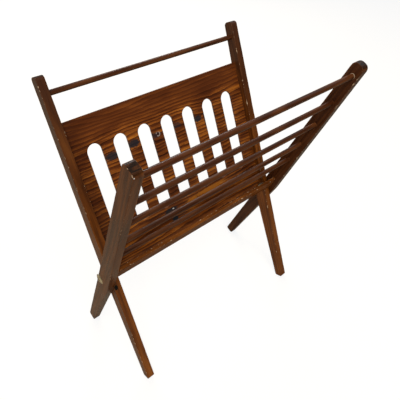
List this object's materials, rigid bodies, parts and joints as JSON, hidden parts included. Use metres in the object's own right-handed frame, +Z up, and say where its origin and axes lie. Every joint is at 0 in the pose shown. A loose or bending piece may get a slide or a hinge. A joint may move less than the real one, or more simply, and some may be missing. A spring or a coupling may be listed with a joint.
{
  "type": "folding magazine rack",
  "caption": "Folding wooden magazine rack: a rod frame and a slotted panel frame cross on brass pivot bolts, fold flat and open onto a stop rail.",
  "frame": {"origin": "on the floor, midway between the four feet, straight below the pivot line", "axes": "+X along the pivot line to the right seen from the front, -Y to the front where the rod frame leans, +Z up"},
  "size_m": [0.3942, 0.2584, 0.4851],
  "materials": {
    "leg_wood": "walnut-brown stain under satin varnish",
    "rod_wood": "walnut-brown stain under satin varnish",
    "rail_wood": "walnut-brown stain under satin varnish",
    "panel_wood": "red-brown stain over softwood plywood, gloss varnish",
    "pivot_brass": "worn satin brass",
    "washer_steel": "plain zinc-plated steel"
  },
  "bodies": {
    "outer_frame": {"outer_leg_left": "leg_wood", "outer_leg_right": "leg_wood", "outer_rod_1": "rod_wood", "outer_rod_2": "rod_wood", "outer_rod_3": "rod_wood", "outer_rod_4": "rod_wood", "outer_rod_5": "rod_wood", "stop_rail": "rail_wood", "pivot_bolt_left": "pivot_brass", "pivot_bolt_right": "pivot_brass", "leg_washer_left": "washer_steel", "leg_washer_right": "washer_steel", "nut_washer_left": "washer_steel", "nut_washer_right": "washer_steel", "pivot_nut_left": "pivot_brass", "pivot_nut_right": "pivot_brass"},
    "inner_frame": {"inner_leg_left": "leg_wood", "inner_leg_right": "leg_wood", "inner_top_rod": "rod_wood", "slotted_panel": "panel_wood"}
  },
  "joints": [
    {"name": "fold", "type": "hinge", "parent": "outer_frame", "child": "inner_frame", "pos_m": [0, 0, 0.20229], "axis": [1, 0, 0], "range_deg": [0, 43.5]}
  ]
}
